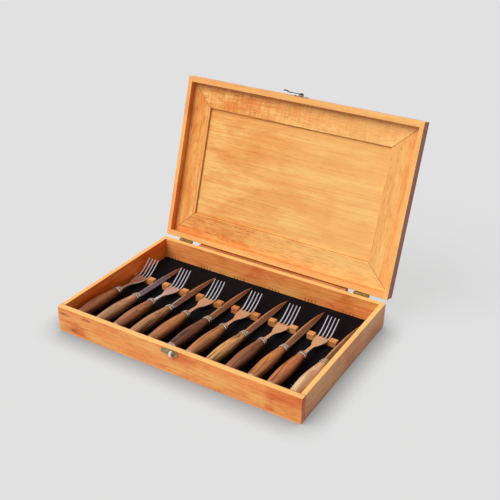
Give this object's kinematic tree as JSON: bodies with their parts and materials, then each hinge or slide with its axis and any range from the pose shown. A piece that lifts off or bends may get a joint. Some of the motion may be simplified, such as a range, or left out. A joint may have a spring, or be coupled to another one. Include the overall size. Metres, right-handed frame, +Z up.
{
  "type": "silverware chest",
  "caption": "Shallow wooden presentation box with a hinged, latched lid and a black lining, holding a set of wood-handled forks and knives.",
  "frame": {"origin": "centre of the underside of the base", "axes": "+X along the chest to the right, +Y from the front to the hinges, +Z up; lid open at rest"},
  "size_m": [0.44, 0.4045, 0.333],
  "materials": {
    "box_wood": "clear varnished, honey orange",
    "panel_wood": "satin, dark brown",
    "black_felt": "short napped felt",
    "aged_brass": "aged, greyish brass plate",
    "polished_steel": "polished stainless",
    "pewter": "cast, lightly polished",
    "fork_1_wood": "satin, grey-brown hardwood",
    "knife_1_wood": "satin, tan hardwood",
    "fork_2_wood": "satin, reddish brown hardwood",
    "knife_2_wood": "satin, golden hardwood with dark grain",
    "fork_3_wood": "satin, golden brown hardwood",
    "knife_3_wood": "satin, dark red-brown hardwood",
    "fork_4_wood": "satin, brown hardwood",
    "knife_4_wood": "satin, golden yellow hardwood with dark streaks",
    "fork_5_wood": "satin, dark brown hardwood",
    "knife_5_wood": "satin, golden orange hardwood",
    "fork_6_wood": "satin, red-brown hardwood",
    "knife_6_wood": "satin, pale beige hardwood"
  },
  "bodies": {
    "base": {"front_wall": "box_wood", "back_wall": "box_wood", "left_wall": "box_wood", "right_wall": "box_wood", "bottom_panel": "panel_wood", "floor_lining": "black_felt", "divider_comb": "box_wood", "handle_rack": "box_wood", "stop_batten": "panel_wood", "keeper_plate": "aged_brass", "hinge_base_leaves": "aged_brass", "hinge_pins": "aged_brass", "base_fasteners": "aged_brass"},
    "lid": {"lid_front_rail": "box_wood", "lid_back_rail": "box_wood", "lid_left_rail": "box_wood", "lid_right_rail": "box_wood", "lid_panel": "box_wood", "lid_long_mouldings": "box_wood", "lid_short_mouldings": "box_wood", "hinge_lid_leaves": "aged_brass", "latch_plate": "aged_brass", "lid_fasteners": "aged_brass"},
    "latch_hook": {"latch_hook": "aged_brass"},
    "fork_1": {"fork_1_head": "polished_steel", "fork_1_handle": "fork_1_wood", "fork_1_fittings": "pewter"},
    "knife_1": {"knife_1_blade": "polished_steel", "knife_1_handle": "knife_1_wood", "knife_1_fittings": "pewter"},
    "fork_2": {"fork_2_head": "polished_steel", "fork_2_handle": "fork_2_wood", "fork_2_fittings": "pewter"},
    "knife_2": {"knife_2_blade": "polished_steel", "knife_2_handle": "knife_2_wood", "knife_2_fittings": "pewter"},
    "fork_3": {"fork_3_head": "polished_steel", "fork_3_handle": "fork_3_wood", "fork_3_fittings": "pewter"},
    "knife_3": {"knife_3_blade": "polished_steel", "knife_3_handle": "knife_3_wood", "knife_3_fittings": "pewter"},
    "fork_4": {"fork_4_head": "polished_steel", "fork_4_handle": "fork_4_wood", "fork_4_fittings": "pewter"},
    "knife_4": {"knife_4_blade": "polished_steel", "knife_4_handle": "knife_4_wood", "knife_4_fittings": "pewter"},
    "fork_5": {"fork_5_head": "polished_steel", "fork_5_handle": "fork_5_wood", "fork_5_fittings": "pewter"},
    "knife_5": {"knife_5_blade": "polished_steel", "knife_5_handle": "knife_5_wood", "knife_5_fittings": "pewter"},
    "fork_6": {"fork_6_head": "polished_steel", "fork_6_handle": "fork_6_wood", "fork_6_fittings": "pewter"},
    "knife_6": {"knife_6_blade": "polished_steel", "knife_6_handle": "knife_6_wood", "knife_6_fittings": "pewter"}
  },
  "joints": [
    {"name": "lid_hinge", "type": "hinge", "parent": "base", "child": "lid", "pos_m": [0, 0.14856, 0.0455], "axis": [-1, 0, 0], "range_deg": [-106.3, 0]},
    {"name": "latch_pivot", "type": "hinge", "parent": "lid", "child": "latch_hook", "pos_m": [-0.0012, 0.24147, 0.32477], "axis": [0, -0.2807, -0.9598], "range_deg": [-90, 90]},
    {"name": "fork_1_lift", "type": "slide", "parent": "base", "child": "fork_1", "axis": [0, 0, 1], "range_m": [0, 0.08]},
    {"name": "knife_1_lift", "type": "slide", "parent": "base", "child": "knife_1", "axis": [0, 0, 1], "range_m": [0, 0.08]},
    {"name": "fork_2_lift", "type": "slide", "parent": "base", "child": "fork_2", "axis": [0, 0, 1], "range_m": [0, 0.08]},
    {"name": "knife_2_lift", "type": "slide", "parent": "base", "child": "knife_2", "axis": [0, 0, 1], "range_m": [0, 0.08]},
    {"name": "fork_3_lift", "type": "slide", "parent": "base", "child": "fork_3", "axis": [0, 0, 1], "range_m": [0, 0.08]},
    {"name": "knife_3_lift", "type": "slide", "parent": "base", "child": "knife_3", "axis": [0, 0, 1], "range_m": [0, 0.08]},
    {"name": "fork_4_lift", "type": "slide", "parent": "base", "child": "fork_4", "axis": [0, 0, 1], "range_m": [0, 0.08]},
    {"name": "knife_4_lift", "type": "slide", "parent": "base", "child": "knife_4", "axis": [0, 0, 1], "range_m": [0, 0.08]},
    {"name": "fork_5_lift", "type": "slide", "parent": "base", "child": "fork_5", "axis": [0, 0, 1], "range_m": [0, 0.08]},
    {"name": "knife_5_lift", "type": "slide", "parent": "base", "child": "knife_5", "axis": [0, 0, 1], "range_m": [0, 0.08]},
    {"name": "fork_6_lift", "type": "slide", "parent": "base", "child": "fork_6", "axis": [0, 0, 1], "range_m": [0, 0.08]},
    {"name": "knife_6_lift", "type": "slide", "parent": "base", "child": "knife_6", "axis": [0, 0, 1], "range_m": [0, 0.08]}
  ]
}
